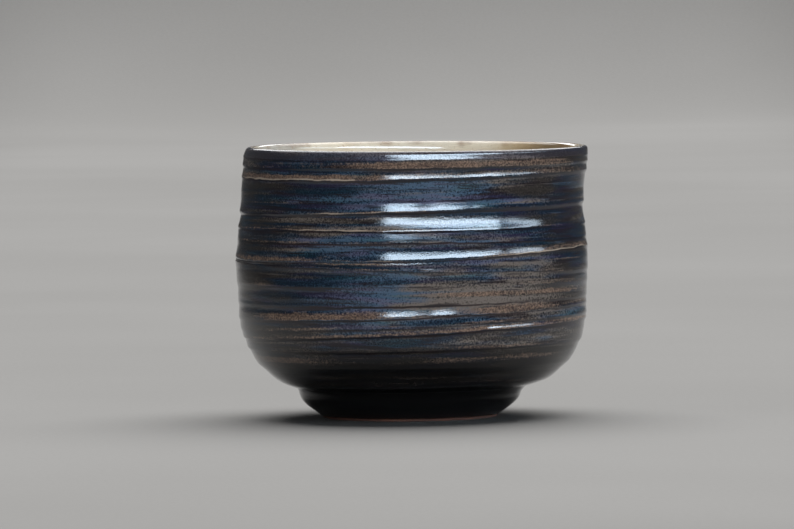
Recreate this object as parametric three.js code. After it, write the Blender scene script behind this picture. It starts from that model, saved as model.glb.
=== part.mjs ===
// Wheel-thrown stoneware tea cup: a clay body with a trimmed foot ring, a dark outside glaze
// and a light inside glaze. Millimetres, +Z up, origin at the centre of the resting plane,
// front towards -Y.
import * as THREE from "three";

// Driving dimensions of the outside, from the lip down: the wall is drawn in at the waist,
// swells in the middle and turns under at the belly towards the foot
const CUP_HEIGHT = 78;
const RIM_RADIUS = 49.75;
const WAIST_RADIUS = 49.6;
const WAIST_HEIGHT = 62.5;
const SWELL_RADIUS = 50.85;
const SWELL_HEIGHT = 47;
const BELLY_RADIUS = 50.2;
const BELLY_HEIGHT = 31.5;
const BELLY_ROUND = 9.4;
const UNDERSIDE_RUN = 11.5;
const UNDERSIDE_CLIMB = 2.2;

// Lip: a rounded edge whose crown joins the two glazes
const LIP_THICKNESS = 3.4;
const LIP_CROWN = 2.4;
const RIM_RISE = -0.2;

// Foot: a turned ring with a bevelled lower edge and a hollow underneath
const FOOT_HEIGHT = 8.9;
const FOOT_RADIUS = 33;
const FOOT_BASE_RADIUS = 25.6;
const FOOT_BEVEL_RADIUS = 31.1;
const FOOT_BEVEL_HEIGHT = 5;
const FOOT_BEVEL_RISE = 1.2;
const FOOT_RING_WIDTH = 4.4;
const FOOT_HOLLOW_DEPTH = 5.5;
const FOOT_HOLLOW_TAPER = 1.4;
const FOOT_HOLLOW_FILLET = 2.2;

// Inside: wall and floor thickness with both glazes on
const WALL_THICKNESS = 4.9;
const FLOOR_THICKNESS = 6;
const INSIDE_FLOOR_RADIUS = 36;
const INSIDE_ROUND_PULL = 1.6;

// Glazes, and the band of clay left bare above the resting plane
const OUTER_GLAZE = 0.45;
const LINER_GLAZE = 0.4;
const BARE_FOOT = 0.9;

// Throwing rings from the foot up to the lip. at: place of the ring's crest, as a share of the
// way up the outside; rise: how much higher the crest runs at the right than at the front;
// hollow: depth of the finger groove below the crest; crisp: the groove starts with a ledge.
const THROWING_RINGS = [
  { at: 0.081, rise: 0.0, hollow: 0.15, crisp: false },
  { at: 0.189, rise: 0.3, hollow: 0.4, crisp: true },
  { at: 0.272, rise: 0.7, hollow: 0.45, crisp: true },
  { at: 0.337, rise: 2.2, hollow: 0.4, crisp: true },
  { at: 0.366, rise: 2.0, hollow: 0.15, crisp: false },
  { at: 0.404, rise: 1.7, hollow: 0.45, crisp: true },
  { at: 0.449, rise: 0.6, hollow: 0.35, crisp: true },
  { at: 0.519, rise: 0.0, hollow: 0.2, crisp: false },
  { at: 0.58, rise: -0.9, hollow: 0.2, crisp: false },
  { at: 0.622, rise: 0.8, hollow: 0.6, crisp: true },
  { at: 0.686, rise: 0.1, hollow: 0.35, crisp: true },
  { at: 0.738, rise: -0.5, hollow: 0.55, crisp: true },
  { at: 0.803, rise: 0.8, hollow: 0.55, crisp: true },
  { at: 0.927, rise: 0.5, hollow: 0.65, crisp: true },
  { at: 0.969, rise: 0.1, hollow: 0.2, crisp: false },
];
const HOLLOW_PLACE = 0.55;
const LEDGE_PLACE = 0.86;
const LEDGE_SHARE = 0.55;

// Steps round the axis and along the curves
const SEGMENTS = 48;
const LIP_STEPS = 3;
const INSIDE_STEPS = 7;
const FILLET_STEPS = 2;

const mix = THREE.MathUtils.lerp;
const point = (radius, height) => new THREE.Vector2(radius, height);

// A loop round the axis. It is level, or climbs to the right by its rise.
function loop(radius, height, rise = 0) {
  return { radius, height, rise };
}

// Loops along an arc from one angle to another, with its own radius and height of sweep.
function arcLoops(centre, reach, crown, from, to, steps, rise = 0) {
  const loops = [];
  for (let step = 0; step <= steps; step += 1) {
    const angle = mix(from, to, step / steps);
    const place = point(centre.x + reach * Math.cos(angle), centre.y + crown * Math.sin(angle));
    loops.push(loop(place.x, place.y, rise));
  }
  return loops;
}

// A stretch of wall that leaves one point and reaches the next upright.
function uprightCurve(low, high) {
  const middle = mix(low.y, high.y, 0.5);
  return new THREE.CubicBezierCurve(low, point(low.x, middle), point(high.x, middle), high);
}

// The outside of the cup from the top of the foot to the start of the lip.
const lipStart = CUP_HEIGHT - LIP_CROWN;
const footTop = point(FOOT_RADIUS, FOOT_HEIGHT);
const belly = point(BELLY_RADIUS, BELLY_HEIGHT);
const swell = point(SWELL_RADIUS, SWELL_HEIGHT);
const waist = point(WAIST_RADIUS, WAIST_HEIGHT);
const underside = new THREE.CubicBezierCurve(
  footTop,
  point(FOOT_RADIUS + UNDERSIDE_RUN, FOOT_HEIGHT + UNDERSIDE_CLIMB),
  point(BELLY_RADIUS, BELLY_HEIGHT - BELLY_ROUND),
  belly,
);
const outside = new THREE.CurvePath();
outside.add(underside);
outside.add(uprightCurve(belly, swell));
outside.add(uprightCurve(swell, waist));
outside.add(uprightCurve(waist, point(RIM_RADIUS, lipStart)));

// A loop on the outside, sunk below it along the surface normal.
function sunkLoop(share, depth, rise) {
  const place = outside.getPoint(share);
  const along = outside.getTangent(share);
  return loop(place.x - along.y * depth, place.y + along.x * depth, rise);
}

// The thrown wall as loops: each finger groove runs from the crest of one ring up to the crest
// of the next. The clay leaves out the ledges and the shallow grooves, which the glaze shows.
function thrownWall(depth, fine) {
  const loops = [];
  let below = { at: 0, rise: 0 };
  for (const ring of THROWING_RINGS) {
    const start = below;
    const groove = (share, hollow) =>
      sunkLoop(
        mix(start.at, ring.at, share),
        depth + hollow,
        mix(start.rise, ring.rise, share),
      );
    if (fine || ring.crisp) loops.push(groove(HOLLOW_PLACE, ring.hollow));
    if (fine && ring.crisp) loops.push(groove(LEDGE_PLACE, ring.hollow * LEDGE_SHARE));
    loops.push(groove(1, 0));
    below = ring;
  }
  return loops;
}

// Half of the lip, from the wall to the crown: outside for a positive reach, else inside.
const lipCentre = point(RIM_RADIUS - LIP_THICKNESS / 2, lipStart);
function halfLip(reach, crown) {
  return arcLoops(lipCentre, reach, crown, 0, Math.PI / 2, LIP_STEPS, RIM_RISE);
}

// The bevelled side of the foot at one height, under a coat of the given thickness.
function footSide(height, coat) {
  const share = height / FOOT_BEVEL_HEIGHT;
  return loop(mix(FOOT_BASE_RADIUS, FOOT_BEVEL_RADIUS, share) - coat, height);
}

// The whole outside from the edge of the glaze to the crown of the lip.
function outsideLoops(coat, fine) {
  return [
    footSide(BARE_FOOT, coat),
    loop(FOOT_BEVEL_RADIUS - coat, FOOT_BEVEL_HEIGHT, FOOT_BEVEL_RISE),
    loop(FOOT_RADIUS - coat, FOOT_HEIGHT + coat),
    ...thrownWall(coat, fine),
    ...halfLip(LIP_THICKNESS / 2 - coat, LIP_CROWN - coat),
  ];
}

// The inside from the centre of the floor to the crown of the lip. Its wall follows the
// outside at the belly, the swell and the waist.
const floorTop = FOOT_HOLLOW_DEPTH + FLOOR_THICKNESS;
function insideLoops(coat, crownCoat) {
  const behind = (place) => point(place.x - WALL_THICKNESS + coat, place.y);
  const bowlTop = behind(belly);
  const floor = floorTop - coat;
  const bowl = new THREE.CubicBezierCurve(
    point(0, floor),
    point(INSIDE_FLOOR_RADIUS, floor),
    point(bowlTop.x, floor + INSIDE_ROUND_PULL),
    bowlTop,
  );
  const places = [...bowl.getPoints(INSIDE_STEPS), behind(swell), behind(waist)];
  return [
    ...places.map((place) => loop(place.x, place.y)),
    ...halfLip(coat - LIP_THICKNESS / 2, LIP_CROWN - crownCoat),
  ];
}

// The underside from the axis out to the edge of the bare clay.
function undersideLoops() {
  const ringInside = FOOT_BASE_RADIUS - OUTER_GLAZE - FOOT_RING_WIDTH;
  const fillet = FOOT_HOLLOW_FILLET;
  const turn = point(
    ringInside - FOOT_HOLLOW_TAPER - fillet,
    FOOT_HOLLOW_DEPTH - fillet,
  );
  return [
    loop(0, FOOT_HOLLOW_DEPTH),
    ...arcLoops(turn, fillet, fillet, Math.PI / 2, 0, FILLET_STEPS),
    loop(ringInside, 0),
    footSide(0, OUTER_GLAZE),
  ];
}

// Joins loops into one skin with the material on the left of the way they run. A loop of no
// radius is a point on the axis. Two skins that run the same loops in opposite directions get
// the same triangles, so that clay and glaze lie face to face.
function spin(loops, closed) {
  const vertices = [];
  const faces = [];
  const first = [];
  for (const { radius, height, rise } of loops) {
    first.push(vertices.length / 3);
    const count = radius === 0 ? 1 : SEGMENTS;
    for (let i = 0; i < count; i += 1) {
      const angle = (i / SEGMENTS) * 2 * Math.PI;
      const side = Math.sin(angle);
      vertices.push(radius * side, -radius * Math.cos(angle), height + rise * side);
    }
  }
  const corner = (row, i) => first[row] + (loops[row].radius === 0 ? 0 : i % SEGMENTS);
  const pairs = closed ? loops.length : loops.length - 1;
  for (let a = 0; a < pairs; a += 1) {
    const b = (a + 1) % loops.length;
    const rising = loops[b].height > loops[a].height;
    for (let i = 0; i < SEGMENTS; i += 1) {
      const [a0, a1] = [corner(a, i), corner(a, i + 1)];
      const [b0, b1] = [corner(b, i), corner(b, i + 1)];
      const halves = rising ? [[a0, a1, b1], [a0, b1, b0]] : [[a0, a1, b0], [a1, b1, b0]];
      for (const half of halves) {
        if (new Set(half).size === 3) faces.push(...half);
      }
    }
  }
  const geometry = new THREE.BufferGeometry();
  geometry.setAttribute("position", new THREE.Float32BufferAttribute(vertices, 3));
  geometry.setIndex(faces);
  geometry.computeVertexNormals();
  return geometry;
}

function piece(name, geometry, color, roughness) {
  const material = new THREE.MeshStandardMaterial({ color, roughness, metalness: 0 });
  const mesh = new THREE.Mesh(geometry, material);
  mesh.name = name;
  return mesh;
}

const skinOutside = outsideLoops(0, true);
const clayOutside = outsideLoops(OUTER_GLAZE, false);
const skinInside = insideLoops(0, 0);
const clayInside = insideLoops(LINER_GLAZE, OUTER_GLAZE);
const clayInsideBelowCrown = clayInside.slice(0, -1);

const body = spin(
  [...undersideLoops(), ...clayOutside, ...clayInsideBelowCrown.toReversed()],
  false,
);
const outerGlaze = spin([...skinOutside, ...clayOutside.toReversed()], true);
const linerGlaze = spin([...clayInside, ...skinInside.toReversed()], false);

const cup = new THREE.Group();
cup.name = "tea_cup";
cup.add(piece("stoneware_body", body, 0x7a4f3c, 0.85));
cup.add(piece("outer_glaze", outerGlaze, 0x2a313b, 0.18));
cup.add(piece("liner_glaze", linerGlaze, 0xd6c5a6, 0.15));

export default cup;
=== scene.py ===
import math

import bpy
import numpy as np
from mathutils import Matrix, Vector


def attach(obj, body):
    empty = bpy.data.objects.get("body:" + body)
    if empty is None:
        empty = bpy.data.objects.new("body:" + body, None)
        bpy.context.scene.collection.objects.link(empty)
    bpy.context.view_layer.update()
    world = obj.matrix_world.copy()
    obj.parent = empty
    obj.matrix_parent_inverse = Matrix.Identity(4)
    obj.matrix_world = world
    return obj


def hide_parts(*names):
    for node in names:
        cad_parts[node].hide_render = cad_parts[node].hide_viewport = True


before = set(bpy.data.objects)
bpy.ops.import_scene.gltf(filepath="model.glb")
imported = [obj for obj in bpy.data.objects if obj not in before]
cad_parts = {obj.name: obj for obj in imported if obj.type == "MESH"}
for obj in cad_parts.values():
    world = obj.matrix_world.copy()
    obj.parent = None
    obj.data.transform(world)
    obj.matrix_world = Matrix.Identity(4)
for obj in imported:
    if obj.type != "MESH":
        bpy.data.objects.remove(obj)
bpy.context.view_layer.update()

MM = 0.001
SEGMENTS = 208
ANGLES = np.linspace(0.0, 2.0 * math.pi, SEGMENTS, endpoint=False)
TURN = np.sin(ANGLES)
ROW_STEP = 0.2
chance = np.random.default_rng(11)

# Sizes of the thrown form. Points are a radius and a height. The wall is as in the CAD part. The
# foot is a little narrower at the bottom and wider at its root, and the lip has a sloping band.
CUP_HEIGHT = 78.0
GLAZE_EDGE = 0.9
FOOT_EDGE = (25.85, GLAZE_EDGE)
FOOT_SHOULDER = (31.7, 6.2)
FOOT_ROOT = (33.4, 8.9)
BELLY = (50.2, 31.5)
SWELL = (50.85, 47.0)
WAIST = (49.6, 62.5)
LIP_START = 75.6
LIP_THICKNESS = 3.4
RIM_RADIUS = 49.75
LIP_CORNER = (RIM_RADIUS - 0.34, 77.05)
WALL = 4.9
FLOOR_TOP = 11.5

# The foot from below: a flat hollow, its side, and the ring that the cup rests on
HOLLOW_MIDDLE = 0.4
HOLLOW_DEPTH = 5.5
HOLLOW_FLAT = 17.0
HOLLOW_SIDE = (19.6, 3.4)
REST_START = (20.6, 0.35)
REST_INSIDE = (21.2, 0.0)
REST_OUTSIDE = (24.6, 0.0)
REST_END = (25.15, 0.4)
CLAY_EDGE = (25.5, GLAZE_EDGE)

# What the hand left uneven: shift to the right by height, a rim that is wider from front to
# back, and a rim that is lower at the right
LEAN = [(0, -0.9), (7, -0.9), (11, 0.1), (20, 0.25), (32, 0.0), (58, 0.0), (66, 0.4), (70, 0.9),
        (75.5, 1.45), (78, 1.85)]
OVAL = 0.004
OVAL_START = 50.0
OVAL_REACH = 28.0
RIM_RISE = -0.2
RIM_TILT = (74.0, 2.0)

# Throwing rings from the foot up. A size is one number, or pairs of an angle and a number.
# height: of the crest at the front
# rise: how much higher the crest is at the right; pairs say it for each angle
# sunk: how far the crest lies under the swept form
# hollow: depth of the groove below the crest
# right: what the groove gains in depth at the right and loses at the left
# deep: where the groove is deepest, as a share of the way up to the crest
# curl: how much faster the groove deepens just above the crest below it; 1 is evenly
# wobble: how far the crest strays up and down
# rust: how far the glaze thins to rust above the crest
# tall: height of that rust band
# line: strength of the pale thread along the crest, which partly paints a glint on it
# shade: how dark the glaze pools just below the crest, which also paints the shade under it
RING_DEFAULTS = dict(rise=0.0, sunk=0.0, right=0.0, curl=1.25, wobble=0.14, rust=0.0, tall=0.5,
                     line=0.25, shade=0.0)
RINGS = [
    dict(height=10.9, hollow=0.15, deep=0.5, shade=0.4, tall=3.0,
         rust=[(-60, 0.35), (-30, 0.4), (0, 0.4), (30, 0.45), (60, 0.45)]),
    dict(height=16.1, rise=0.3, hollow=0.4, deep=0.66, shade=0.9, tall=1.4,
         rust=[(-60, 0.35), (0, 0.1), (40, 0.25), (70, 0.2)]),
    dict(height=17.6, rise=0.5, sunk=0.1, hollow=0.05, deep=0.5, tall=2.3,
         rust=[(-70, 0.9), (-50, 0.85), (-38, 0.4), (-15, 0.15), (0, 0.2), (12, 0.5),
               (28, 0.7), (42, 0.7), (65, 0.4)]),
    dict(height=21.4, rise=0.7, hollow=0.35, deep=0.75, shade=1.0, tall=1.0,
         rust=[(-60, 0.3), (-20, 0.1), (5, 0.1), (16, 0.55), (35, 0.6), (60, 0.3)]),
    dict(height=26.0, rise=2.4, hollow=0.42, deep=0.85, shade=1.0, tall=1.2,
         rust=[(-60, 0.35), (-40, 0.45), (-20, 0.6), (-8, 0.8), (12, 0.95), (45, 0.95),
               (75, 0.85)]),
    dict(height=28.2, rise=2.0, deep=0.6, shade=0.6, tall=1.0,
         hollow=[(-30, 0.12), (20, 0.2), (28, 0.42), (42, 0.42), (52, 0.2)],
         rust=[(-65, 0.2), (-50, 0.45), (-35, 0.55), (-20, 0.15), (10, 0.2), (22, 0.5),
               (32, 0.4), (50, 0.1)]),
    dict(height=31.0, rise=1.7, hollow=0.26, deep=0.82, shade=1.0, tall=2.5,
         rust=[(-75, 0.2), (-62, 0.35), (-50, 0.8), (-40, 1.0), (-30, 0.9), (-12, 0.75),
               (2, 0.4), (15, 0.4), (26, 0.75), (45, 0.7), (65, 0.4)]),
    dict(height=34.4, rise=0.6, deep=0.78, curl=1.3, shade=0.9,
         hollow=[(-30, 0.3), (-12, 0.38), (1, 0.37), (4, 0.26), (8, 0.41), (13, 0.37),
                 (17, 0.14), (50, 0.15)]),
    dict(height=36.3, rise=0.5, sunk=0.02, hollow=0.03, deep=0.5, tall=1.7,
         rust=[(-75, 0.1), (-30, 0.0), (2, 0.1), (14, 0.6), (27, 0.9), (40, 0.55), (75, 0.65)]),
    dict(height=39.6, hollow=0.15, deep=0.6, tall=1.4,
         shade=[(-70, 0.6), (-25, 0.9), (-15, 0.35), (40, 0.1), (80, 0.3)],
         rust=[(-75, 0.2), (-45, 0.15), (-35, 0.0), (20, 0.1), (50, 0.35), (80, 0.4)]),
    dict(height=44.2, rise=-1.2, hollow=0.22, deep=0.7, shade=0.7,
         rust=[(-40, 0.3), (-20, 0.55), (0, 0.45), (15, 0.2), (45, 0.3)]),
    dict(height=45.9, rise=0.2, sunk=0.1, deep=0.7, tall=0.6,
         hollow=[(-40, 0.05), (1, 0.02), (3, 0.12), (9, 0.12), (11, 0.02), (60, 0.05)],
         shade=[(-40, 0.0), (-30, 0.6), (-10, 0.5), (5, 0.0)],
         rust=[(-36, 0.0), (-30, 0.7), (-14, 0.6), (-4, 0.3), (40, 0.35), (70, 0.6)]),
    dict(height=47.3, hollow=0.2, deep=0.8, shade=0.9, tall=1.6,
         rise=[(-70, -0.8), (0, 0.0), (22, 0.4), (45, 1.3), (75, 2.1)],
         line=[(-70, 0.2), (-30, 0.3), (-26, 0.6), (-10, 0.7), (0, 0.3), (25, 0.4), (45, 0.8),
               (70, 0.5)],
         rust=[(-70, 1.0), (-52, 1.0), (-38, 0.75), (-22, 0.5), (0, 0.3), (25, 0.4),
               (40, 0.75), (65, 0.6)]),
    dict(height=52.1, rise=0.1, deep=0.7, curl=2.4, shade=1.0, tall=0.6,
         sunk=[(-98, 0.5), (-82, 0.5), (-68, 0.2), (60, 0.2)],
         hollow=[(-30, 0.28), (14, 0.3), (20, 0.3), (26, 0.2), (31, 0.14), (38, 0.27), (60, 0.2)],
         rust=[(-70, 0.5), (-40, 0.45), (0, 0.35), (30, 0.3), (60, 0.2)]),
    dict(height=55.6, rise=0.3, deep=0.88, curl=1.7, shade=0.9, tall=0.7,
         line=[(-60, 0.3), (-45, 0.7), (-15, 0.7), (-10, 0.3), (60, 0.3)],
         hollow=[(-60, 0.2), (-20, 0.08), (-9, 0.02), (-6, 0.09), (1, 0.09), (4, 0.02), (6, 0.1),
                 (12, 0.08), (15, 0.02), (30, 0.02), (60, 0.2)],
         rust=[(-70, 0.45), (-40, 0.55), (-15, 0.45), (20, 0.3), (60, 0.25)]),
    dict(height=60.8, rise=0.9, right=0.05, deep=0.86, shade=0.9, tall=0.6,
         line=[(-45, 0.3), (-30, 0.6), (-12, 0.7), (-6, 0.3), (60, 0.3)],
         hollow=[(-30, 0.6), (14, 0.62), (22, 0.6), (29, 0.5), (36, 0.56), (48, 0.52), (60, 0.4)],
         rust=[(-70, 0.3), (-40, 0.35), (-15, 0.6), (10, 0.45), (60, 0.3)]),
    dict(height=63.5, rise=0.6, hollow=0.02, deep=0.5, shade=0.5,
         sunk=[(-60, 0.35), (-20, 0.52), (0, 0.58), (3, 0.46), (6, 0.6), (14, 0.58), (19, 0.4),
               (22, 0.52), (27, 0.2), (32, 0.2), (45, 0.1), (60, 0.0)],
         rust=[(-60, 0.5), (-45, 0.35), (-30, 0.1), (60, 0.2)]),
    dict(height=70.15, right=0.12, hollow=0.3, deep=0.86, shade=1.0, tall=1.8,
         rise=[(-75, -0.48), (-30, -0.25), (0, 0.0), (17, 0.15), (30, 0.6), (48, 0.95),
               (75, 0.95)],
         line=[(-75, 0.8), (-60, 1.3), (-22, 1.3), (-19, 0.1), (60, 0.3)],
         rust=[(-75, 1.0), (-55, 1.25), (-25, 1.15), (-20, 0.25), (-15, 0.35), (-9, 0.7),
               (15, 0.6), (35, 0.5), (50, 0.35), (75, 0.35)]),
    dict(height=73.3, rise=0.1, deep=0.78, curl=1.7, tall=2.1,
         hollow=[(-40, 0.35), (-14, 0.42), (8, 0.38), (17, 0.38), (24, 0.4), (34, 0.42),
                 (50, 0.42), (60, 0.3)],
         shade=[(-60, 0.9), (-30, 1.0), (0, 0.9), (15, 0.5), (60, 0.4)],
         rust=[(-70, 0.2), (-45, 0.4), (-25, 0.75), (-5, 0.95), (10, 1.0), (30, 0.9), (45, 0.7),
               (65, 0.2)]),
    dict(height=75.5, rise=-0.2, hollow=0.1, deep=0.6, shade=0.8, tall=0.1,
         sunk=[(-30, 0.0), (15, 0.0), (23, 0.1), (32, 0.2), (60, 0.15)]),
]

# How much of their depth the grooves and sunk crests keep round the cup. They are shallow where
# the wall turns away from the eye, and deep again at the outline.
SHALLOWER = [(-180, 1.0), (-125, 0.9), (-96, 0.9), (-84, 0.8), (-74, 0.2), (-62, 0.15),
             (-42, 0.7), (-30, 1.0), (40, 1.0), (52, 0.7), (64, 0.3), (74, 0.2), (84, 0.9),
             (96, 1.0), (125, 0.9), (180, 1.0)]

# How uneven a groove's depth is round the cup, and the share of fine waves in a crest's wobble
UNEVEN = 0.12
FINE_WOBBLE = 0.5

# Depths of the noise on the outside, and how far from the lip and the foot it dies away
FINE_RELIEF = 0.006
FINER_RELIEF = 0.003
BROAD_RELIEF = 0.08
CALM_AT_LIP = 3.0
CALM_AT_FOOT = 2.0

# Bands along a crest: where each starts, how fast it rises, where it ends and how fast it falls.
# The thread lies above the crest and partly paints a glint on it. Below the crest the glaze pools
# and is painted darker as shade. The rust band's end and fall are shares of its ring's tall.
THREAD_BAND = (-0.1, 0.15, 0.5, 0.25)
POOL_SHADE_BAND = (-0.1, 0.35, 1.1, 0.9)
RUST_START = -0.2
RUST_RISE = 0.45
RUST_END = 1.2
RUST_FALL = 0.7
RAGGED_EDGE = 0.16

# How patchy or streaky these bands are, and what streaks add all over to rust and to the pools
# with their painted shade
THREAD_STREAKS = 0.5
POOL_SHADE_PATCHES = 0.25
POOL_SHADE_STREAKS = 0.06
RUST_PATCHES = 0.3
RUST_STREAKS = 0.05

# Middle of the warm and milky fields, and the shares of noises in them: drift, streaks and
# patches, and for milky also streaks that are moved by some rows and columns
GLAZE_MIDDLE = 0.4
WARM_SHARES = (0.16, 0.26, 0.08)
MILKY_SHARES = (0.14, 0.14, 0.3, 0.14)
STREAK_SHIFT = (9, 65)

# Zones where the glaze is browner than blue (positive) or bluer, and where it is milkier
# (positive) or darker: angle and height of the middle, reach along both in degrees and
# millimetres, and strength.
BROWN_ZONES = [
    (-66, 45, 18, 40, 0.25),
    (58, 45, 26, 40, 0.28),
    (30, 37, 30, 5, 0.45),
    (30, 74, 50, 3, 0.4),
    (-18, 40, 24, 7, -0.35),
    (-22, 64, 30, 5, -0.35),
    (40, 67.5, 12, 2.6, 0.4),
    (-58, 67.5, 14, 2.0, 0.35),
    (8, 66, 24, 4, -0.25),
    (24, 42.5, 8, 1.6, -0.5),
    (0, 25, 30, 3, 0.15),
    (40, 24, 26, 3, 0.4),
    (-50, 24, 20, 4, 0.35),
    (-30, 50, 20, 3, -0.15),
    (0, 15, 90, 5, 0.3),
    (30, 36, 12, 1.6, 0.3),
    (42, 45.5, 14, 1.6, 0.35),
]
# The wide darker zones on the left and right flanks, at the upper right and low on the belly are
# painted shade; the other zones make the glaze milkier or clearer.
MILKY_AND_SHADE_ZONES = [
    (32, 38, 26, 5, 0.25),
    (8, 34, 20, 3, 0.3),
    (0, 40, 12, 5, 0.2),
    (12, 66, 18, 4, 0.25),
    (-64, 45, 22, 45, -0.42),
    (66, 56, 18, 26, -0.5),
    (-5, 53, 16, 3, 0.25),
    (44, 65, 14, 5, -0.6),
    (40, 54, 20, 4, -0.2),
    (-25, 67, 16, 3, -0.3),
    (-28, 43, 12, 2, -0.25),
    (0, 17, 40, 5, -0.4),
    (42, 45.5, 14, 1.6, 0.7),
    (-58, 30, 14, 6, -0.3),
    (30, 63.5, 20, 1.2, 0.3),
    (46, 63.2, 12, 0.9, 0.6),
    (-42, 65.5, 16, 1.0, -0.4),
    (15, 51.8, 28, 1.4, 0.35),
    (-20, 49.5, 14, 1.5, 0.7),
    (-16, 62.3, 8, 1.0, 0.5),
    (-55, 38.5, 20, 1.5, -0.4),
    (-12, 41.6, 14, 1.6, 0.35),
    (-5, 36.2, 36, 1.1, 0.25),
    (17, 33.6, 7, 1.2, 0.4),
    (-20, 64.9, 12, 1.2, 0.35),
    (-40, 67.3, 36, 1.2, -0.25),
    (0, 20.2, 60, 1.6, -0.35),
]

# Coats: thickness at an edge, what the outside and inside ones gain behind it and over what
# way, the rows of their backs and where the liner's back ends
COAT_EDGE = 0.4
COAT_REACH = 5.0
OUTER_COAT = 1.4
LINER_COAT = 0.5
BACK_ROWS = 28
LINER_BACK_END = 0.6

# Inside: finger rings with their spacing, drift, depth on the floor and what the wall adds. Where
# things change along the way from the middle of the floor, a start and a reach are given.
INSIDE_ROWS = 240
INSIDE_START = 0.35
SMALLEST_RADIUS = 0.05
FINGER_SPACING = 6.5
FINGER_DRIFT = 1.3
FINGER_FLOOR = 0.03
FINGER_WALL = 0.12
FINGER_BEGIN = (4.0, 12.0)
FINGER_DEEPEN = (20.0, 25.0)
FINGER_RIM = 12.0
INSIDE_RELIEF = 0.03
INSIDE_CALM_MIDDLE = 10.0
INSIDE_CALM_RIM = 5.0

# Heights over which the inside glaze thins towards the rim: a start and a reach
THIN_RISE = (71.0, 7.0)

# Tone of the inside round the rim, from grey through cream and honey to brown. The grey at the left
# end paints a sheen of sky, and the dark brown at the right end is partly painted shade. Further
# down it passes into the tone of the floor.
INSIDE_TONE_SHADE_SHEEN = [(-179, 0.08), (-165, 0.14), (-154, 0.42), (-145, 0.3), (-128, -0.2), (-106, -0.12),
               (-65, 0.35), (-40, 0.42), (0, 0.42), (70, 0.44), (96, 0.5), (112, 0.64), (126, 0.77),
               (137, 0.77), (147, 0.6), (157, 0.38), (167, 0.16), (179, 0.08)]
FLOOR_TONE = 0.42
TONE_NOISE = 0.14
TONE_RISE = (45.0, 60.0)

# Bare clay: turning marks under the foot, grit above the resting ring, and the rows that run
# under the coats with a small gap
TURNED_ROWS = 150
MARK_DEPTH = 0.12
MARK_SPACING = 2.4
MARK_BAND = (0.5, 2.0, 16.0, 3.0)
GRIT_DEPTH = 0.03
GRIT_RISE = (0.05, 0.4)
CLAY_GAP = 0.03
CLAY_OUTSIDE_ROWS = 60
CLAY_OUTSIDE_START = 0.4
CLAY_INSIDE_ROWS = 40
CLAY_BELOW_CROWN = 1.0
CLAY_INSIDE_END = 0.8


# Curves of the profile
def bezier(a, b, c, d, steps=120):
    t = np.linspace(0.0, 1.0, steps)[:, None]
    a, b, c, d = (np.array(p, float) for p in (a, b, c, d))
    return a * (1 - t) ** 3 + 3 * b * t * (1 - t) ** 2 + 3 * c * t * t * (1 - t) + d * t**3


def upright(low, high):
    middle = (low[1] + high[1]) / 2
    return bezier(low, (low[0], middle), (high[0], middle), high)


def joined(*curves):
    points = [curves[0]]
    for curve in curves[1:]:
        points.append(curve[1:])
    return np.vstack(points)


class Profile:
    """A curve of radius and height that is walked by its length."""

    def __init__(self, points):
        self.points = np.asarray(points, float)
        steps = np.hypot(*np.diff(self.points, axis=0).T)
        self.length = np.concatenate([[0.0], np.cumsum(steps)])
        self.end = self.length[-1]
        slope = np.gradient(self.points, self.length, axis=0)
        slope /= np.hypot(*slope.T)[:, None]
        self.out = np.column_stack([slope[:, 1], -slope[:, 0]])

    def at(self, s):
        """Radius and height, and the way to the right of the walk."""
        radius = np.interp(s, self.length, self.points[:, 0])
        height = np.interp(s, self.length, self.points[:, 1])
        out_r = np.interp(s, self.length, self.out[:, 0])
        out_z = np.interp(s, self.length, self.out[:, 1])
        return radius, height, out_r, out_z

    def where(self, height):
        return float(np.interp(height, self.points[:, 1], self.length))


LIP_CROWN = (RIM_RADIUS - LIP_THICKNESS / 2, CUP_HEIGHT)


def outer_lip():
    """The outer half of the lip: a sloping band that rolls over into the crown."""
    roll_start = (RIM_RADIUS - 0.47, 77.65)
    roll_end = (RIM_RADIUS - 0.9, CUP_HEIGHT)
    roll = bezier(LIP_CORNER, roll_start, roll_end, LIP_CROWN, 40)
    return joined(np.array([(RIM_RADIUS, LIP_START), LIP_CORNER]), roll)


def inner_lip():
    """The inner half of the lip: a quarter of an ellipse up to the crown."""
    t = np.linspace(0.0, math.pi / 2, 40)
    radius = LIP_CROWN[0] - LIP_THICKNESS / 2 * np.cos(t)
    height = LIP_START + (CUP_HEIGHT - LIP_START) * np.sin(t)
    return np.column_stack([radius, height])


def inward(point):
    return (point[0] - WALL, point[1])


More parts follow.
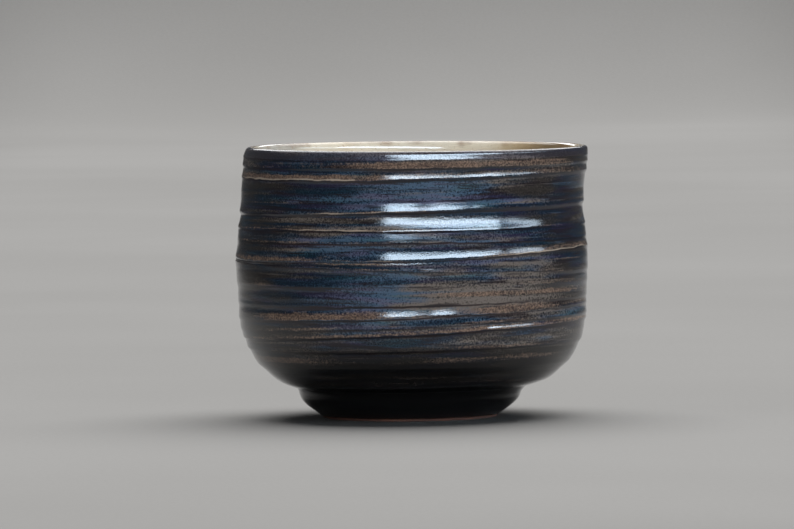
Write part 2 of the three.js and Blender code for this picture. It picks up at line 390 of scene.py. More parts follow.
outside = Profile(
    joined(
        bezier(FOOT_EDGE, (28.9, 2.9), (31.1, 4.6), FOOT_SHOULDER, 60),
        bezier(FOOT_SHOULDER, (32.0, 7.2), (32.5, 8.4), FOOT_ROOT, 40),
        bezier(FOOT_ROOT, (44.5, 11.1), (BELLY[0], 22.1), BELLY, 240),
        upright(BELLY, SWELL),
        upright(SWELL, WAIST),
        upright(WAIST, (RIM_RADIUS, LIP_START)),
        outer_lip(),
    )
)
inside_belly = inward(BELLY)
inside = Profile(
    joined(
        bezier((0.0, FLOOR_TOP), (36.0, FLOOR_TOP), (inside_belly[0], 13.1), inside_belly, 240),
        upright(inside_belly, inward(SWELL)),
        upright(inward(SWELL), inward(WAIST)),
        upright(inward(WAIST), (RIM_RADIUS - LIP_THICKNESS, LIP_START)),
        inner_lip(),
    )
)
turned = Profile(
    joined(
        np.array([(HOLLOW_MIDDLE, HOLLOW_DEPTH), (HOLLOW_FLAT, HOLLOW_DEPTH)]),
        bezier((HOLLOW_FLAT, HOLLOW_DEPTH), (18.4, HOLLOW_DEPTH), (19.4, 4.9), HOLLOW_SIDE, 16),
        np.array([HOLLOW_SIDE, REST_START]),
        bezier(REST_START, (20.7, 0.1), (20.9, 0.0), REST_INSIDE, 8),
        np.array([REST_INSIDE, REST_OUTSIDE]),
        bezier(REST_OUTSIDE, (24.9, 0.0), (25.0, 0.15), REST_END, 8),
        np.array([REST_END, CLAY_EDGE]),
    )
)


# Seamless noise
def round_noise(rows, slow, rough=1.0):
    """Noise that closes round the cup: rows of waves up to the given count round it."""
    waves = np.arange(1, slow + 1)
    size = waves**-rough
    phase = chance.uniform(0.0, 2.0 * math.pi, (rows, slow))
    weight = chance.normal(0.0, 1.0, (rows, slow)) * size / np.sqrt((size**2).sum())
    return np.einsum("rw,rwa->ra", weight, np.cos(waves[:, None] * ANGLES + phase[:, :, None]))


def smooth(t):
    t = np.clip(t, 0.0, 1.0)
    return t * t * (3 - 2 * t)


def flowing(rows, every, slow, rough=1.0):
    """Noise whose rows pass softly into each other, one new row at every so many."""
    count = rows // every + 3
    coarse = round_noise(count, slow, rough)
    place = np.arange(rows) / every
    low = place.astype(int)
    share = smooth(place - low)[:, None]
    return coarse[low] * (1 - share) + coarse[low + 1] * share


def blurred(field, times):
    """Softens a field of rows along the profile."""
    for _ in range(times):
        padded = np.pad(field, ((1, 1), (0, 0)), mode="edge")
        field = 0.25 * padded[:-2] + 0.5 * padded[1:-1] + 0.25 * padded[2:]
    return field


def risen(walk, start, reach):
    """A soft step from 0 at the start to 1 behind the reach."""
    return smooth((walk - start) / reach)


def between(walk, start, rise, end, fall):
    """A soft band that is 0 up to its start and from its end on."""
    return risen(walk, start, rise) * smooth((end - walk) / fall)


def degrees_from(angle):
    """How far each angle round the cup lies from the given one, in degrees."""
    return (np.degrees(ANGLES) - angle + 180.0) % 360.0 - 180.0


def round_about(value):
    """A number for every angle, from one number or from pairs of an angle and a number.

    Pairs that leave out the back pass into their mean there.
    """
    if not isinstance(value, list):
        return np.full(SEGMENTS, float(value))
    degrees, numbers = (list(column) for column in zip(*value))
    if degrees[-1] < 100:
        middle = float(np.mean(numbers))
        left = 0.5 * (middle + numbers[0])
        right = 0.5 * (middle + numbers[-1])
        degrees = [-180.0, -110.0] + degrees + [110.0, 180.0]
        numbers = [middle, left] + numbers + [right, middle]
    return np.interp(degrees_from(0.0), degrees, numbers)


# Mesh of rows round the axis
def hand_made(x, y, z):
    """The lean and the slightly oval rim of a cup thrown by hand."""
    levels, shifts = zip(*LEAN)
    oval = 1.0 + OVAL * np.clip((z - OVAL_START) / OVAL_REACH, 0, 1)
    return x + np.interp(z, levels, shifts), y * oval, z


def rim_tilt(height):
    """How much higher each point is because the rim isn't level."""
    return RIM_RISE * TURN * risen(height, *RIM_TILT)


def ring_of(radius, height):
    radius = np.broadcast_to(radius, (SEGMENTS,))
    height = np.broadcast_to(height, (SEGMENTS,))
    return np.stack([radius, height], axis=-1)


def shell(name, rings, closed, attributes=None):
    """Rows of points as one closed mesh. Rows run so that the left of the way is inside."""
    rows = len(rings)
    grid = np.stack(rings)
    x = grid[:, :, 0] * TURN
    y = -grid[:, :, 0] * np.cos(ANGLES)
    x, y, z = hand_made(x, y, grid[:, :, 1])
    points = np.stack([x, y, z], axis=-1).reshape(-1, 3) * MM
    index = np.arange(rows * SEGMENTS).reshape(rows, SEGMENTS)
    nxt = np.roll(index, -1, axis=1)
    below = index if closed else index[:-1]
    above = np.roll(index, -1, axis=0) if closed else index[1:]
    below_next = nxt if closed else nxt[:-1]
    above_next = np.roll(nxt, -1, axis=0) if closed else nxt[1:]
    quads = np.stack([below, below_next, above_next, above], axis=-1).reshape(-1, 4)
    faces = quads.tolist()
    if not closed:
        faces.append(index[0][::-1].tolist())
        faces.append(index[-1].tolist())
    mesh = bpy.data.meshes.new(name)
    mesh.from_pydata(points.tolist(), [], faces)
    mesh.update()
    mesh.shade_smooth()
    for key, field in (attributes or {}).items():
        layer = mesh.attributes.new(key, "FLOAT", "POINT")
        layer.data.foreach_set("value", np.asarray(field, np.float32).ravel())
    made = bpy.data.objects.new(name, mesh)
    bpy.context.scene.collection.objects.link(made)
    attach(made, "root")
    return made


# Rows under the coats
def coat_depth(from_edge, gain):
    """Thickness of a coat: thin at its edges, with room for the grooves behind them."""
    return COAT_EDGE + gain * smooth(from_edge / COAT_REACH)


def under_outside(s, gap=0.0):
    r, z, o_r, o_z = outside.at(s)
    depth = coat_depth(min(s, outside.end - s), OUTER_COAT) + gap
    return ring_of(r - o_r * depth, z - o_z * depth)


def under_inside(s, gap=0.0):
    r, z, o_r, o_z = inside.at(s)
    depth = coat_depth(inside.end - s, LINER_COAT) + gap
    return ring_of(r + o_r * depth, z + o_z * depth)


def with_back(field):
    """Adds rows of zeros to a field, for the back of a coat."""
    return np.vstack([field, np.zeros((BACK_ROWS, SEGMENTS))])


# Outside glaze
def ring_line(ring):
    """A ring with its sizes round the cup."""
    ring = dict(RING_DEFAULTS, **ring)
    uneven = 1 + UNEVEN * round_noise(1, 6, 0.7)[0]
    stray = round_noise(1, 8, 0.8)[0] + FINE_WOBBLE * round_noise(1, 70, 0.2)[0]
    rise = ring["rise"]
    rise = round_about(rise) if isinstance(rise, list) else rise * TURN
    shallow = round_about(SHALLOWER)
    hollow = round_about(ring["hollow"]) + ring["right"] * TURN
    return dict(
        s=outside.where(ring["height"]) + rise + ring["wobble"] * stray,
        sunk=round_about(ring["sunk"]) * shallow,
        hollow=hollow * uneven * shallow,
        deep=ring["deep"],
        curl=ring["curl"],
        line=round_about(ring["line"]),
        rust=round_about(ring["rust"]),
        tall=ring["tall"],
        shade=round_about(ring["shade"]),
    )


plain = dict(wobble=0.0, hollow=0.04, deep=0.5)
lines = [
    ring_line(dict(plain, height=GLAZE_EDGE)),
    ring_line(dict(plain, height=5.2, rise=1.2, shade=0.4)),
    ring_line(dict(plain, height=FOOT_ROOT[1])),
    *[ring_line(ring) for ring in RINGS],
    ring_line(dict(plain, height=CUP_HEIGHT, hollow=0.0, rust=0.5, tall=0.6)),
]


def groove_rows():
    """Rows from the glaze edge to the crown of the lip, with grooves cut between the rings."""
    walks, depths = [], []
    for low, high in zip(lines, lines[1:]):
        gap = float(np.mean(high["s"] - low["s"]))
        steps = max(4, int(round(gap / ROW_STEP)))
        for v in np.arange(steps) / steps:
            if v < high["deep"]:
                share = 1 - (1 - v / high["deep"]) ** high["curl"]
            else:
                share = (1 - v) / (1 - high["deep"])
            walks.append(low["s"] * (1 - v) + high["s"] * v)
            depths.append(low["sunk"] * (1 - v) + high["sunk"] * v + high["hollow"] * share)
    walks.append(lines[-1]["s"])
    depths.append(np.zeros(SEGMENTS))
    return np.stack(walks), np.stack(depths)


walks, depths = groove_rows()
row_count = len(walks)
depths = blurred(depths, 2)
calm = smooth((outside.end - walks) / CALM_AT_LIP) * smooth(walks / CALM_AT_FOOT)
fine = flowing(row_count, 5, 24, 0.9)
finer = flowing(row_count, 3, 40, 0.7)
broad = flowing(row_count, 34, 5, 0.8)
depths = depths + calm * (FINE_RELIEF * fine + FINER_RELIEF * finer + BROAD_RELIEF * broad)
radius, height, out_r, out_z = outside.at(walks)
skin_r = radius - out_r * depths
skin_z = height - out_z * depths + rim_tilt(height)

# Where the coat is thin and rusty, where it pools dark and paints the shade under the crests, and
# where the pale threads run and partly paint glints on them
patchy = flowing(row_count, 14, 12, 0.5)
streaky = flowing(row_count, 4, 16, 0.6)
ragged = flowing(row_count, 4, 60, 0.35)
rust = np.zeros_like(walks)
dark = np.zeros_like(walks)
crest = np.zeros_like(walks)
for line in lines[1:]:
    above = walks - line["s"] + RAGGED_EDGE * ragged
    tall = line["tall"]
    band = between(above, RUST_START, RUST_RISE, RUST_END * tall, RUST_FALL * tall)
    rust = np.maximum(rust, band * line["rust"] * (1 + RUST_PATCHES * patchy))
    # Below each crest the glaze pools dark, which is also painted shade under the crest
    pool_and_shade = between(-above, *POOL_SHADE_BAND)
    dark = np.maximum(dark, pool_and_shade * line["shade"] * (1 + POOL_SHADE_PATCHES * patchy))
    # Above each crest runs a pale thread of thin glaze, partly a painted glint
    thread = between(above, *THREAD_BAND)
    crest = np.maximum(crest, thread * line["line"] * (1 + THREAD_STREAKS * streaky))
rust = np.clip(rust + RUST_STREAKS * streaky, 0, 1)
dark = np.clip(dark * (1 - smooth(rust)) + POOL_SHADE_STREAKS * streaky, 0, 1)


def zoned(field, zones):
    """Adds soft patches to a field on the outside."""
    for angle, level, turn_reach, up_reach, strength in zones:
        away = degrees_from(angle) / turn_reach
        field = field + strength * np.exp(-(away**2) - ((height - level) / up_reach) ** 2)
    return np.clip(field, 0, 1)


def stirred(shares, *noises):
    """The middle of a glaze field with shares of noises added."""
    field = GLAZE_MIDDLE
    for share, noise in zip(shares, noises):
        field = field + share * noise
    return field


# Where it is warm or blue, and milky or clear, with painted shade in the dark milky zones
warm = stirred(WARM_SHARES, flowing(row_count, 24, 5, 0.6), streaky, patchy)
warm = zoned(warm, BROWN_ZONES)
moved = np.roll(streaky, STREAK_SHIFT, axis=(0, 1))
milky = stirred(MILKY_SHARES, flowing(row_count, 16, 6, 0.5), streaky, moved, patchy)
milky = zoned(milky, MILKY_AND_SHADE_ZONES)

outer_rows = [ring_of(skin_r[i], skin_z[i]) for i in range(row_count)]
back_rows = [under_outside(s) for s in np.linspace(outside.end, 0.0, BACK_ROWS)]
glaze_outside = shell(
    "glaze_outside",
    outer_rows + back_rows,
    True,
    {
        "rust": with_back(rust),
        "dark": with_back(dark),
        "warm": with_back(warm),
        "milky": with_back(milky),
        "crest": with_back(np.clip(crest, 0, 1)),
    },
)
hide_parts("outer_glaze")

# Inside glaze, with soft finger rings that climb as a spiral
inner_walk = np.linspace(INSIDE_START, inside.end, INSIDE_ROWS)
along = inner_walk[:, None]
to_rim = inside.end - along
drift = FINGER_DRIFT * flowing(INSIDE_ROWS, 30, 4, 0.8)
spiral = np.sin(2 * math.pi * along / FINGER_SPACING - ANGLES + drift)
ringing = (FINGER_FLOOR + FINGER_WALL * risen(along, *FINGER_DEEPEN)) * spiral
ringing = ringing * smooth(to_rim / FINGER_RIM) * risen(along, *FINGER_BEGIN)
calm_in = smooth(to_rim / INSIDE_CALM_RIM) * smooth(along / INSIDE_CALM_MIDDLE)
ringing = ringing + calm_in * INSIDE_RELIEF * flowing(INSIDE_ROWS, 4, 12)
r, z, o_r, o_z = (column[:, None] for column in inside.at(inner_walk))
bowl_r = np.maximum(r - o_r * ringing, SMALLEST_RADIUS)
bowl_z = z - o_z * ringing + rim_tilt(z)
inner_rows = [ring_of(bowl_r[i], bowl_z[i]) for i in range(INSIDE_ROWS)]
under_rows = [under_inside(s) for s in np.linspace(inside.end, LINER_BACK_END, BACK_ROWS)]
thinning = np.repeat(risen(z, *THIN_RISE), SEGMENTS, axis=1)
tone = TONE_NOISE * flowing(INSIDE_ROWS, 40, 16, 0.5) + round_about(INSIDE_TONE_SHADE_SHEEN)
tone = FLOOR_TONE + (tone - FLOOR_TONE) * risen(along, *TONE_RISE)
glaze_inside = shell(
    "glaze_inside",
    (inner_rows + under_rows)[::-1],
    False,
    {"edge": with_back(thinning)[::-1], "tone": with_back(tone)[::-1]},
)
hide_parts("liner_glaze")

# Clay: the turned hollow of the foot, the resting ring, and the body under the glazes
turn_walk = np.linspace(0.0, turned.end, TURNED_ROWS)
t_r, t_z, to_r, to_z = turned.at(turn_walk)
marked = between(turn_walk, *MARK_BAND)
marks = MARK_DEPTH * marked * np.sin(2 * math.pi * turn_walk / MARK_SPACING)
grit = GRIT_DEPTH * risen(t_z, *GRIT_RISE)[:, None] * flowing(TURNED_ROWS, 2, 60, 0.2)
clay_rows = []
for i in range(TURNED_ROWS):
    dent = marks[i] + grit[i]
    clay_rows.append(ring_of(t_r[i] + to_r[i] * dent, np.maximum(t_z[i] + to_z[i] * dent, 0.0)))
up_walk = np.linspace(CLAY_OUTSIDE_START, outside.end, CLAY_OUTSIDE_ROWS)
down_walk = np.linspace(inside.end - CLAY_BELOW_CROWN, CLAY_INSIDE_END, CLAY_INSIDE_ROWS)
clay_rows += [under_outside(s, CLAY_GAP) for s in up_walk]
clay_rows += [under_inside(s, CLAY_GAP) for s in down_walk]
clay = shell("clay_body", clay_rows, False)
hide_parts("stoneware_body")


# Materials
class Nodes:
    """Short ways to make the nodes of one material."""

    def __init__(self, name):
        self.material = bpy.data.materials.new(name)
        self.material.use_nodes = True
        self.tree = self.material.node_tree
        self.tree.nodes.clear()
        output = self.tree.nodes.new("ShaderNodeOutputMaterial")
        self.shader = self.tree.nodes.new("ShaderNodeBsdfPrincipled")
        self.link(self.shader.outputs[0], output.inputs["Surface"])
        self.place = self.tree.nodes.new("ShaderNodeTexCoord").outputs["Object"]

    def link(self, source, socket):
        self.tree.links.new(source, socket)

    def put(self, socket, value):
        if isinstance(value, bpy.types.NodeSocket):
            self.link(value, socket)
        else:
            socket.default_value = value

    def attribute(self, name):
        node = self.tree.nodes.new("ShaderNodeAttribute")
        node.attribute_name = name
        return node.outputs["Fac"]

    def apart(self):
        """The place as x, y and z."""
        node = self.tree.nodes.new("ShaderNodeSeparateXYZ")
        self.link(self.place, node.inputs[0])
        return node.outputs

    def stretched(self, across, up):
        node = self.tree.nodes.new("ShaderNodeVectorMath")
        node.operation = "MULTIPLY"
        self.link(self.place, node.inputs[0])
        node.inputs[1].default_value = (across, across, up)
        return node.outputs[0]

    def noise(self, scale, detail, rough, vector=None):
        node = self.tree.nodes.new("ShaderNodeTexNoise")
        self.link(vector if vector is not None else self.place, node.inputs["Vector"])
        node.inputs["Scale"].default_value = scale
        node.inputs["Detail"].default_value = detail
        node.inputs["Roughness"].default_value = rough
        return node.outputs["Fac"]

    def streaks(self, across, up, detail, rough):
        """Noise that is drawn out round the cup."""
        return self.noise(1.0, detail, rough, self.stretched(across, up))

    def math(self, operation, a, b=0.0):
        node = self.tree.nodes.new("ShaderNodeMath")
        node.operation = operation
        self.put(node.inputs[0], a)
        self.put(node.inputs[1], b)
        return node.outputs[0]

    def plus(self, a, b):
        return self.math("ADD", a, b)

    def times(self, a, b):
        return self.math("MULTIPLY", a, b)

    def swing(self, value, amount, middle=0.5):
        """How far a value is off its middle, times the amount."""
        return self.times(self.math("SUBTRACT", value, middle), amount)

    def ramp(self, value, low, high, to_low=0.0, to_high=1.0):
        node = self.tree.nodes.new("ShaderNodeMapRange")
        node.interpolation_type = "SMOOTHSTEP"
        self.put(node.inputs["Value"], value)
        node.inputs["From Min"].default_value = low
        node.inputs["From Max"].default_value = high
        node.inputs["To Min"].default_value = to_low
        node.inputs["To Max"].default_value = to_high
        return node.outputs[0]

    def mix(self, share, a, b):
        node = self.tree.nodes.new("ShaderNodeMix")
        node.data_type = "RGBA"
        self.put(node.inputs[0], share)
        for socket, value in ((node.inputs[6], a), (node.inputs[7], b)):
            if isinstance(value, tuple):
                value = (*value, 1.0)
            self.put(socket, value)
        return node.outputs[2]

    def bump(self, height, strength, distance):
        node = self.tree.nodes.new("ShaderNodeBump")
        node.inputs["Strength"].default_value = strength
        node.inputs["Distance"].default_value = distance
        self.link(height, node.inputs["Height"])
        return node.outputs[0]

    def finish(self, base, roughness, relief):
        """Links what every material has."""
        self.link(base, self.shader.inputs["Base Color"])
        self.put(self.shader.inputs["Roughness"], roughness)
        self.link(relief, self.shader.inputs["Normal"])
        return self.material


GLAZE_IOR = 1.52

# Colours of the dark glaze: its ground and its milky dots, in the blue and the brown parts
BLUE_GROUND = (0.0045, 0.0125, 0.0255)
VIOLET_GROUND = (0.014, 0.011, 0.03)
TEAL_GROUND = (0.0022, 0.0145, 0.0255)
BROWN_GROUND = (0.022, 0.019, 0.0175)
BLUE_PALE = (0.05, 0.09, 0.145)
VIOLET_PALE = (0.085, 0.085, 0.142)
TEAL_PALE = (0.036, 0.098, 0.126)
BROWN_PALE = (0.13, 0.11, 0.098)

# Dark bands over the glaze and over the rust, the rust, the pools that also paint shade, and the
# thread on a crest that partly paints a glint
MAROON = (0.0115, 0.0072, 0.0098)
RUST_SHADOW = (0.0115, 0.009, 0.012)
RUST_DEEP = (0.06, 0.041, 0.035)
RUST_PALE = (0.225, 0.155, 0.115)
POOL_SHADE_BLUE = (0.0062, 0.0066, 0.0108)
POOL_SHADE_RED = (0.017, 0.0092, 0.0108)
THREAD_GLINT = (0.34, 0.28, 0.225)

# The lip, the low belly, the foot and its bottom edge, with the heights over which they begin,
# in metres. The dark of the low belly and the foot is partly their own colour and partly painted
# shade of the underside.
LIP_FADE = (0.0752, 0.0758)
LIP_GROUND = (0.034, 0.03, 0.039)
LIP_PALE = (0.1, 0.09, 0.112)
LOW_FADE = (0.0244, 0.0165)
LOW_SHADE_GROUND = (0.003, 0.0026, 0.0025)
LOW_SHADE_PALE = (0.02, 0.0155, 0.0135)
FOOT_FADE = (0.0105, 0.0085)
FOOT_BLACK_SHADE = (0.0034, 0.0033, 0.0036)
BOTTOM_FADE = (0.0024, 0.0011)
BOTTOM_GROUND = (0.016, 0.0065, 0.006)
BOTTOM_PALE = (0.034, 0.0145, 0.012)


def dark_glaze():
    n = Nodes("dark_iron_glaze")
    rust_at = n.attribute("rust")
    pool_shade_at = n.attribute("dark")
    warm_at = n.attribute("warm")
    milky_shade_at = n.attribute("milky")
    thread_glint_at = n.attribute("crest")
    up = n.apart()[2]
    bands = n.streaks(60.0, 900.0, 4.0, 0.6)
    threads = n.streaks(52.0, 1600.0, 3.0, 0.6)
    streaks = n.streaks(75.0, 460.0, 3.0, 0.55)
    hues = n.streaks(55.0, 560.0, 2.0, 0.5)
    clouds = n.streaks(70.0, 220.0, 3.0, 0.5)
    speckle = n.noise(2000.0, 2.0, 0.75)
    grain = n.noise(800.0, 2.0, 0.6)

    # Blue or brown, with milky dots that thin out as painted shade on the flanks and low belly
    warmth = n.plus(warm_at, n.swing(clouds, 0.6))
    warmth = n.plus(warmth, n.swing(streaks, 0.9))
    warmth = n.plus(warmth, n.swing(speckle, 0.5))
    warmth = n.ramp(warmth, 0.3, 0.85)
    violet = n.ramp(hues, 0.5, 0.66, 0.0, 0.8)
    teal = n.ramp(hues, 0.44, 0.32, 0.0, 0.7)
    blue_ground = n.mix(teal, n.mix(violet, BLUE_GROUND, VIOLET_GROUND), TEAL_GROUND)
    blue_pale = n.mix(teal, n.mix(violet, BLUE_PALE, VIOLET_PALE), TEAL_PALE)
    ground = n.mix(warmth, blue_ground, BROWN_GROUND)
    pale = n.mix(warmth, blue_pale, BROWN_PALE)
    mottle = n.plus(n.times(speckle, 0.84), n.times(threads, 0.16))
    lift = n.swing(milky_shade_at, 0.16, GLAZE_MIDDLE)
    gain = n.plus(0.22, n.times(milky_shade_at, 1.45))
    dots = n.times(n.ramp(n.plus(mottle, lift), 0.4, 0.64), gain)
    base = n.mix(dots, ground, pale)
    base = n.mix(n.ramp(threads, 0.58, 0.72, 0.0, 0.4), base, pale)
    base = n.mix(n.ramp(bands, 0.52, 0.66, 0.0, 0.75), base, MAROON)

    # Rust on the crests, pools below them that also paint shade, and pale threads that partly paint
    # glints, all broken up
    broken = n.plus(n.times(threads, 0.4), n.times(speckle, 0.3))
    broken = n.swing(n.plus(broken, n.times(grain, 0.3)), 2.0)
    thin = n.ramp(n.plus(rust_at, broken), 0.2, 0.85)
    tan = n.mix(n.ramp(mottle, 0.38, 0.66), RUST_DEEP, RUST_PALE)
    base = n.mix(thin, base, tan)
    base = n.mix(n.ramp(bands, 0.52, 0.66, 0.0, 0.35), base, RUST_SHADOW)
    # Pools below the crests, also painted shade under them
    pool_and_shade = n.ramp(n.plus(pool_shade_at, n.times(broken, 0.7)), 0.25, 0.85, 0.0, 0.9)
    pool_shade_colour = n.mix(n.ramp(streaks, 0.42, 0.6), POOL_SHADE_BLUE, POOL_SHADE_RED)
    base = n.mix(pool_and_shade, base, pool_shade_colour)
    # Pale threads on the crests, partly painted glints
    thread_glint = n.ramp(n.plus(thread_glint_at, n.times(broken, 0.5)), 0.35, 0.9, 0.0, 0.9)
    base = n.mix(thread_glint, base, THREAD_GLINT)

    # Lip, low belly and foot, whose dark is partly painted shade of the underside, and bottom edge
    lip = n.ramp(up, *LIP_FADE, 0.0, 0.6)
    base = n.mix(lip, base, n.mix(dots, LIP_GROUND, LIP_PALE))
    low = n.times(n.ramp(up, *LOW_FADE, 0.0, 0.88), n.ramp(thin, 0.2, 1.0, 1.0, 0.5))
    base = n.mix(low, base, n.mix(dots, LOW_SHADE_GROUND, LOW_SHADE_PALE))
    black = n.ramp(up, *FOOT_FADE, 0.0, 0.9)
    base = n.mix(black, base, FOOT_BLACK_SHADE)
    bottom = n.ramp(up, *BOTTOM_FADE, 0.0, 0.85)
    base = n.mix(bottom, base, n.mix(dots, BOTTOM_GROUND, BOTTOM_PALE))

    n.shader.inputs["IOR"].default_value = GLAZE_IOR
    gloss = n.plus(0.05, n.times(bands, 0.06))
    relief = n.plus(n.times(speckle, 0.6), n.times(bands, 0.4))
    return n.finish(base, gloss, n.bump(relief, 1.0, 0.000044))


# Colours of the light glaze
CREAM = (0.64, 0.58, 0.475)
HONEY = (0.5, 0.38, 0.235)
DARK_HONEY_SHADE = (0.15, 0.105, 0.055)
SHEEN_GREY = (0.36, 0.35, 0.325)
IRON_SPECK = (0.3, 0.15, 0.05)
RIM_BROWN = (0.16, 0.075, 0.035)


def light_glaze():
    n = Nodes("honey_glaze")
    edge_at = n.attribute("edge")
    tone_at = n.attribute("tone")
    runs = n.streaks(120.0, 26.0, 3.0, 0.5)
    clouds = n.noise(38.0, 4.0, 0.6)
    specks = n.noise(1500.0, 1.0, 0.5)
    blend = n.plus(n.plus(tone_at, n.swing(runs, 0.25)), n.swing(clouds, 0.3))
    base = n.mix(n.ramp(blend, 0.3, 0.75), CREAM, HONEY)
    # Dark honey: the glaze's own brown, and partly painted shade at the right end of the rim
    base = n.mix(n.ramp(blend, 0.5, 1.0, 0.0, 0.9), base, DARK_HONEY_SHADE)
    # Grey: a painted sheen of sky at the left end of the rim
    base = n.mix(n.ramp(blend, 0.25, -0.35), base, SHEEN_GREY)
    base = n.mix(n.ramp(specks, 0.66, 0.76, 0.0, 0.5), base, IRON_SPECK)
    rim = n.plus(edge_at, n.swing(runs, 0.8))
    base = n.mix(n.ramp(rim, 0.9, 1.3), base, RIM_BROWN)
    n.shader.inputs["IOR"].default_value = GLAZE_IOR
    gloss = n.plus(0.09, n.times(clouds, 0.08))
    return n.finish(base, gloss, n.bump(clouds, 0.2, 0.0002))


# Colours of the bare clay
CLAY_RED = (0.19, 0.082, 0.05)
CLAY_BROWN = (0.11, 0.045, 0.028)
GRIT_PALE = (0.32, 0.19, 0.13)
GRIT_DARK = (0.045, 0.018, 0.012)


def bare_clay():
    n = Nodes("bare_clay")
    grit = n.noise(1800.0, 3.0, 0.65)
    turn = n.streaks(70.0, 700.0, 3.0, 0.6)
    clouds = n.noise(90.0, 3.0, 0.55)
    base = n.mix(n.ramp(clouds, 0.3, 0.7), CLAY_RED, CLAY_BROWN)
    base = n.mix(n.ramp(grit, 0.6, 0.72, 0.0, 0.7), base, GRIT_PALE)
    base = n.mix(n.ramp(grit, 0.4, 0.28, 0.0, 0.7), base, GRIT_DARK)
    matt = n.ramp(turn, 0.3, 0.7, 0.72, 0.9)
    return n.finish(base, matt, n.bump(n.plus(grit, turn), 0.5, 0.0002))


# Colours of the floor. It fades to dark at its sides and in front, mostly outside the picture
# from the photograph's side, so that less of it shows in the glaze.
FLOOR_GREY = (0.5, 0.49, 0.475)
FLOOR_PALE = (0.55, 0.54, 0.525)
FLOOR_DARK = (0.1, 0.098, 0.095)
SIDE_FADE = (0.18, 0.55)
FRONT_FADE = (-0.4, -0.8)


def pale_floor():
    n = Nodes("pale_floor")
    clouds = n.noise(3.0, 3.0, 0.5)
    grain = n.noise(600.0, 2.0, 0.5)
    tone = n.plus(n.times(clouds, 0.7), n.times(grain, 0.3))
    base = n.mix(n.ramp(tone, 0.3, 0.7), FLOOR_GREY, FLOOR_PALE)
    x, y, _ = n.apart()
    beside = n.ramp(n.math("ABSOLUTE", x), *SIDE_FADE)
    ahead = n.ramp(y, *FRONT_FADE)
    base = n.mix(n.math("MAXIMUM", beside, ahead), base, FLOOR_DARK)
    n.shader.inputs["Specular IOR Level"].default_value = 0.1
    return n.finish(base, 0.85, n.bump(grain, 0.1, 0.0002))


glaze_outside.data.materials.append(dark_glaze())
glaze_inside.data.materials.append(light_glaze())
clay.data.materials.append(bare_clay())


# Studio: a long floor that sweeps up a little at its far end
FLOOR_SIDE = 1.1
FLOOR_FRONT = -1.1
FLOOR_BACK = 2.8
SWEEP_RADIUS = 0.6
SWEEP_TURN = math.radians(50)
SWEEP_STEPS = 16


def sweep():
    path = [(FLOOR_FRONT, 0.0)]
    for t in np.linspace(0.0, SWEEP_TURN, SWEEP_STEPS):
        path.append((FLOOR_BACK + SWEEP_RADIUS * math.sin(t), SWEEP_RADIUS * (1 - math.cos(t))))
    points, faces = [], []
    for y, z in path:
        points.append((-FLOOR_SIDE, y, z))
        points.append((FLOOR_SIDE, y, z))
    for i in range(len(path) - 1):
        faces.append((2 * i, 2 * i + 1, 2 * i + 3, 2 * i + 2))
    mesh = bpy.data.meshes.new("floor")
    mesh.from_pydata(points, [], faces)
    mesh.shade_smooth()
    made = bpy.data.objects.new("floor", mesh)
    bpy.context.scene.collection.objects.link(made)
    made.data.materials.append(pale_floor())
    return made


floor = sweep()

LAMP_AIM = Vector((0, 0, 0.045))
COOL = (0.66, 0.83, 1.0)
DAYLIGHT = (0.95, 0.98, 1.0)
WHITE = (1.0, 1.0, 1.0)


def softbox(name, azimuth, elevation, distance, width, height, radiance, colour):
    """A flat lamp that faces the cup. Azimuth 0 is in front, positive to the right."""
    a, e = math.radians(azimuth), math.radians(elevation)
    way = Vector((math.sin(a) * math.cos(e), -math.cos(a) * math.cos(e), math.sin(e)))
    data = bpy.data.lights.new(name, "AREA")
    data.shape = "RECTANGLE"
    data.size = width
    data.size_y = height
    data.energy = radiance * math.pi * width * height
    data.color = colour
    made = bpy.data.objects.new(name, data)
    made.location = LAMP_AIM + way * distance
    made.rotation_euler = way.to_track_quat("Z", "Y").to_euler()
    bpy.context.scene.collection.objects.link(made)
    return made


# The key makes the highlights and is seen in reflections only. The fill lights the colours and
# isn't seen in reflections. Side, back and top light the other sides and the inside.
key = softbox("key", 21.3, 23.0, 1.6, 2.42, 0.36, 21.5, COOL)
key.visible_diffuse = False
fill = softbox("fill", 19.4, 30.0, 1.6, 2.6, 1.0, 3.9, DAYLIGHT)
fill.visible_glossy = False
back = softbox("back", 180.0, 23.0, 1.7, 0.9, 0.36, 5.0, WHITE)
side = softbox("side", 80.0, 17.0, 1.7, 0.9, 0.2, 10.0, COOL)
top = softbox("top", 175.0, 62.0, 1.8, 2.4, 1.6, 3.0, WHITE)

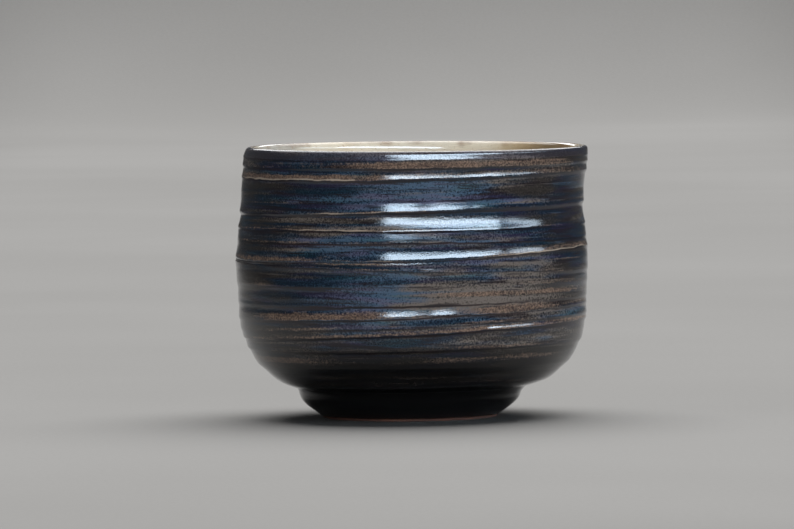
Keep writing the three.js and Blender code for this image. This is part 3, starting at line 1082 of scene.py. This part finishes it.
# A wide soft lamp for the floor alone, so that it is evenly pale
FLOOR_LAMP_ENERGY = 2.5
FLOOR_LAMP_WIDTH = math.radians(70)
FLOOR_LAMP_TILT = (math.radians(-24), math.radians(6), 0.0)
floor_data = bpy.data.lights.new("floor_lamp", "SUN")
floor_data.energy = FLOOR_LAMP_ENERGY
floor_data.angle = FLOOR_LAMP_WIDTH
floor_lamp = bpy.data.objects.new("floor_lamp", floor_data)
floor_lamp.rotation_euler = FLOOR_LAMP_TILT
bpy.context.scene.collection.objects.link(floor_lamp)

# The lamps on the cup are kept off the floor, and its own lamp off the cup
cup_only = bpy.data.collections.new("cup_only")
for piece in (glaze_outside, glaze_inside, clay):
    cup_only.objects.link(piece)
for lamp in (key, fill, side, top, back):
    lamp.light_linking.receiver_collection = cup_only
floor_only = bpy.data.collections.new("floor_only")
floor_only.objects.link(floor)
floor_lamp.light_linking.receiver_collection = floor_only

SKY_COLOUR = (0.92, 0.96, 1.0, 1.0)
SKY_STRENGTH = 0.07
world = bpy.data.worlds.new("studio")
world.use_nodes = True
sky = world.node_tree.nodes["Background"]
sky.inputs["Color"].default_value = SKY_COLOUR
sky.inputs["Strength"].default_value = SKY_STRENGTH
bpy.context.scene.world = world

# Camera: a long lens that looks down a little, rolled as in the photograph
CAMERA_PLACE = (-0.0043, -2.6, 0.16)
CAMERA_AIM = Vector((-0.0043, 0.0, 0.0439))
CAMERA_ROLL = math.radians(-0.6)
CAMERA_LENS = 409.3
CAMERA_SENSOR = 36.0
CAMERA_REACH = 60.0
camera_data = bpy.data.cameras.new("camera")
camera_data.lens = CAMERA_LENS
camera_data.sensor_width = CAMERA_SENSOR
camera_data.clip_end = CAMERA_REACH
camera = bpy.data.objects.new("camera", camera_data)
bpy.context.scene.collection.objects.link(camera)
camera.location = CAMERA_PLACE
aim = CAMERA_AIM - camera.location
camera.rotation_euler = aim.to_track_quat("-Z", "Y").to_euler()
camera.rotation_euler.rotate_axis("Z", CAMERA_ROLL)
bpy.context.scene.camera = camera
bpy.context.scene.view_settings.view_transform = "Standard"
